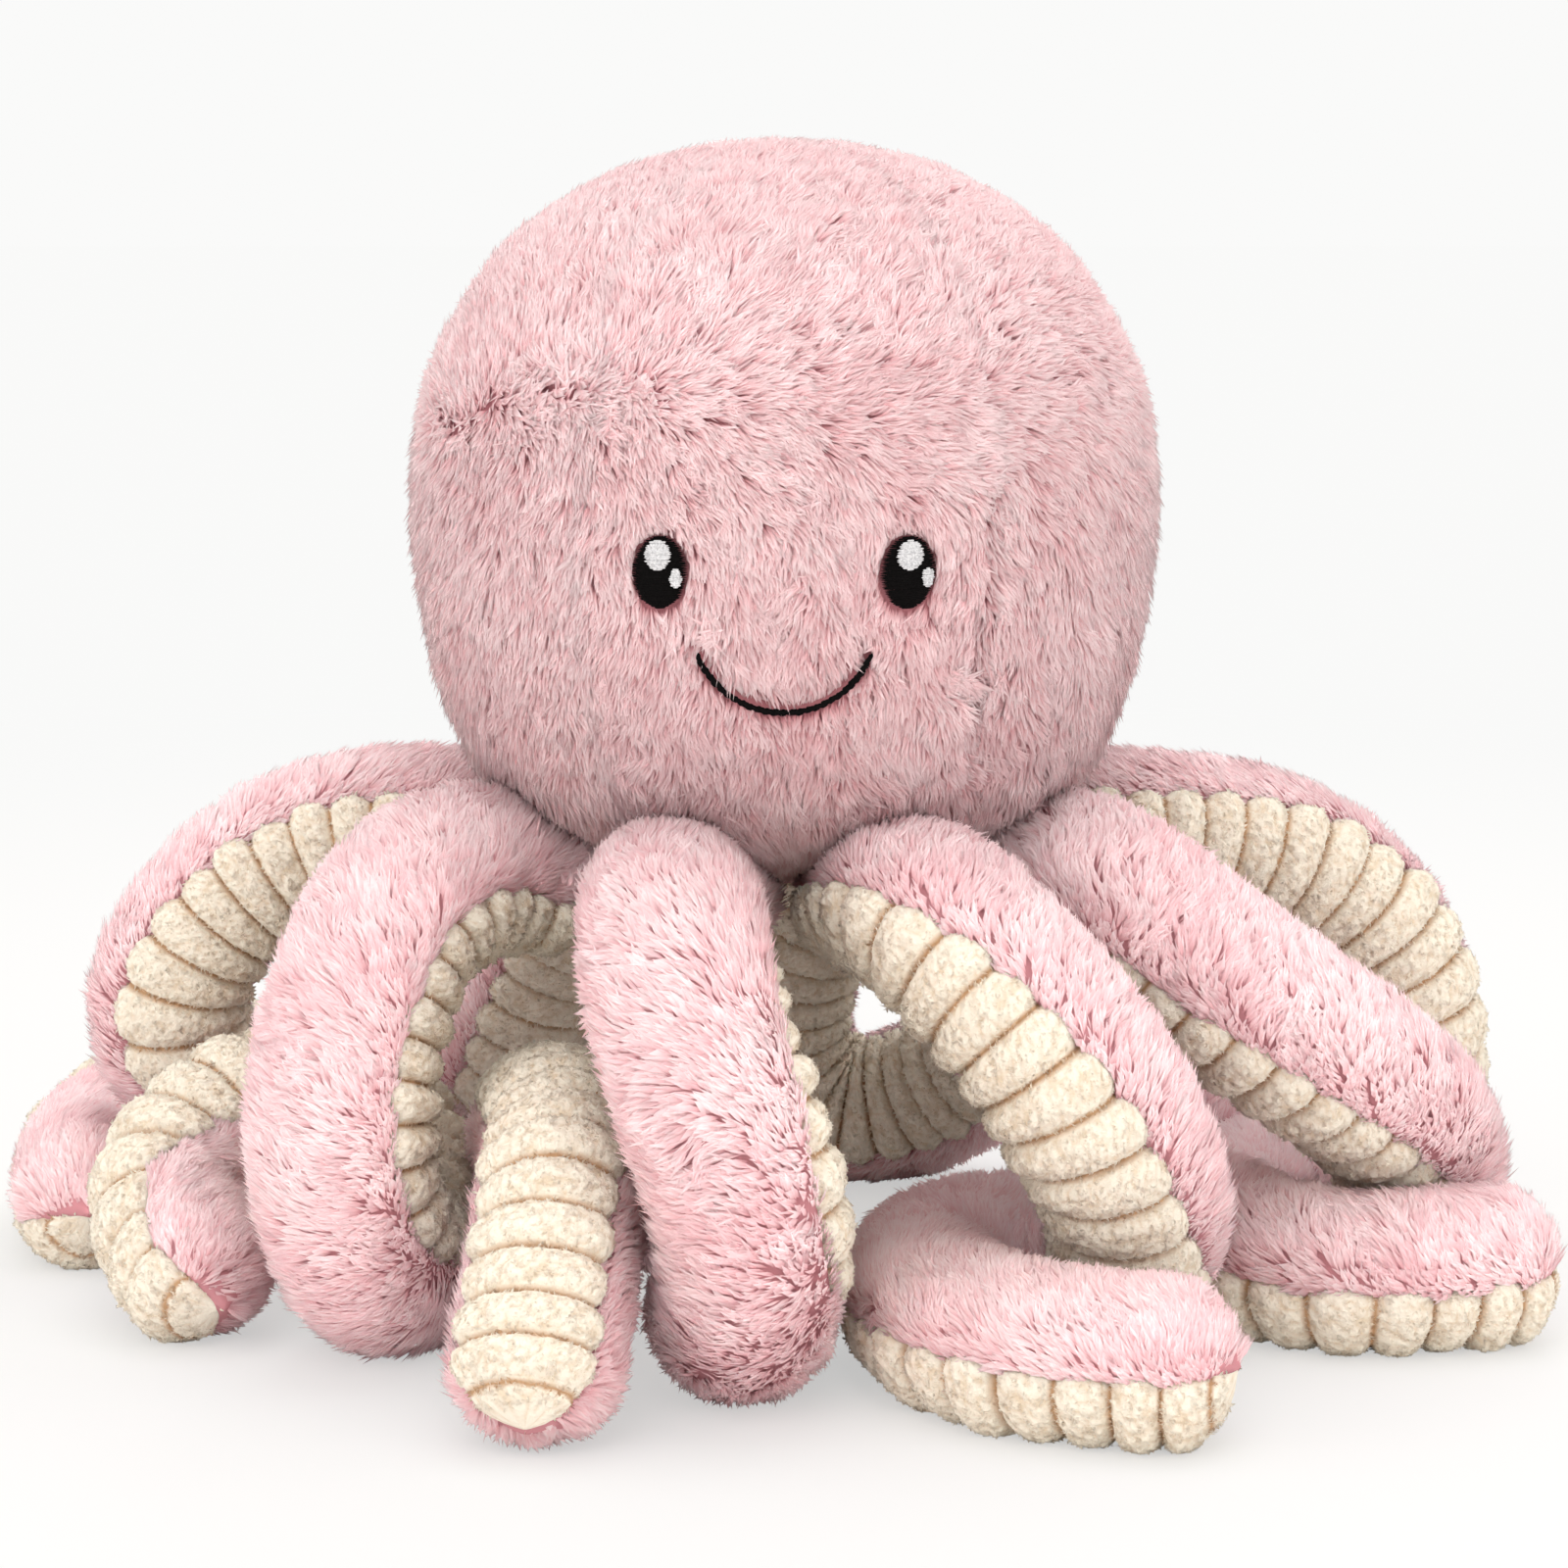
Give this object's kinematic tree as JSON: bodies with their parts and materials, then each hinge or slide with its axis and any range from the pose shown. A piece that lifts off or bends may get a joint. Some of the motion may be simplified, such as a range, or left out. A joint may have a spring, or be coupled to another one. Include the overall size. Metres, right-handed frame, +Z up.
{
  "type": "plush octopus",
  "caption": "Sitting plush octopus: a ball head with embroidered eyes and smile on curled stuffed arms with ribbed cream undersides.",
  "frame": {"origin": "on the floor, under the middle of the whole toy's box", "axes": "+Z up, the face looks along -Y, +X to the viewer's right of the face"},
  "size_m": [0.4214, 0.3924, 0.3112],
  "materials": {
    "pink_plush": "long soft pile",
    "rose_plush": "long soft pile",
    "cream_plush": "short looped pile",
    "black_thread": "satin stitch",
    "silver_thread": "satin stitch",
    "fibre_filling": "loose fibre"
  },
  "bodies": {
    "head": {"head_filling": "fibre_filling", "head_face_panel": "rose_plush", "head_right_panel": "rose_plush", "head_back_panel": "rose_plush", "head_left_panel": "rose_plush", "base_panel": "rose_plush", "left_eye": "black_thread", "right_eye": "black_thread", "left_eye_glint": "silver_thread", "right_eye_glint": "silver_thread", "left_eye_small_glint": "silver_thread", "right_eye_small_glint": "silver_thread", "smile_stitch": "black_thread"},
    "left_rear_arm": {"arm_left_rear_plush": "pink_plush", "arm_left_rear_ribs": "cream_plush"},
    "left_front_arm": {"arm_left_front_plush": "pink_plush", "arm_left_front_ribs": "cream_plush"},
    "front_left_arm": {"arm_front_left_plush": "pink_plush", "arm_front_left_ribs": "cream_plush"},
    "front_right_arm": {"arm_front_right_plush": "pink_plush", "arm_front_right_ribs": "cream_plush"},
    "right_front_arm": {"arm_right_front_plush": "pink_plush", "arm_right_front_ribs": "cream_plush"},
    "right_rear_arm": {"arm_right_rear_plush": "pink_plush", "arm_right_rear_ribs": "cream_plush"},
    "rear_left_arm": {"arm_rear_left_plush": "pink_plush", "arm_rear_left_ribs": "cream_plush"},
    "rear_right_arm": {"arm_rear_right_plush": "pink_plush", "arm_rear_right_ribs": "cream_plush"}
  },
  "joints": [
    {"name": "left_rear_arm_seam", "type": "hinge", "parent": "head", "child": "left_rear_arm", "pos_m": [-0.0641, -0.0056, 0.146], "axis": [0.3827, 0.9239, 0], "range_deg": [0, 45]},
    {"name": "left_front_arm_seam", "type": "hinge", "parent": "head", "child": "left_front_arm", "pos_m": [-0.0641, -0.0657, 0.146], "axis": [-0.3827, 0.9239, 0], "range_deg": [0, 45]},
    {"name": "front_left_arm_seam", "type": "hinge", "parent": "head", "child": "front_left_arm", "pos_m": [-0.0216, -0.1082, 0.146], "axis": [-1, 0, 0], "range_deg": [0, 45]},
    {"name": "front_right_arm_seam", "type": "hinge", "parent": "head", "child": "front_right_arm", "pos_m": [0.0385, -0.1082, 0.146], "axis": [-0.9239, -0.3827, 0], "range_deg": [0, 45]},
    {"name": "right_front_arm_seam", "type": "hinge", "parent": "head", "child": "right_front_arm", "pos_m": [0.081, -0.0657, 0.146], "axis": [-0.3827, -0.9239, 0], "range_deg": [0, 45]},
    {"name": "right_rear_arm_seam", "type": "hinge", "parent": "head", "child": "right_rear_arm", "pos_m": [0.081, -0.0056, 0.146], "axis": [0.3827, -0.9239, 0], "range_deg": [0, 45]},
    {"name": "rear_left_arm_seam", "type": "hinge", "parent": "head", "child": "rear_left_arm", "pos_m": [-0.0216, 0.0369, 0.146], "axis": [0.9239, 0.3827, 0], "range_deg": [0, 45]},
    {"name": "rear_right_arm_seam", "type": "hinge", "parent": "head", "child": "rear_right_arm", "pos_m": [0.0385, 0.0369, 0.146], "axis": [1, 0, 0], "range_deg": [0, 45]}
  ]
}
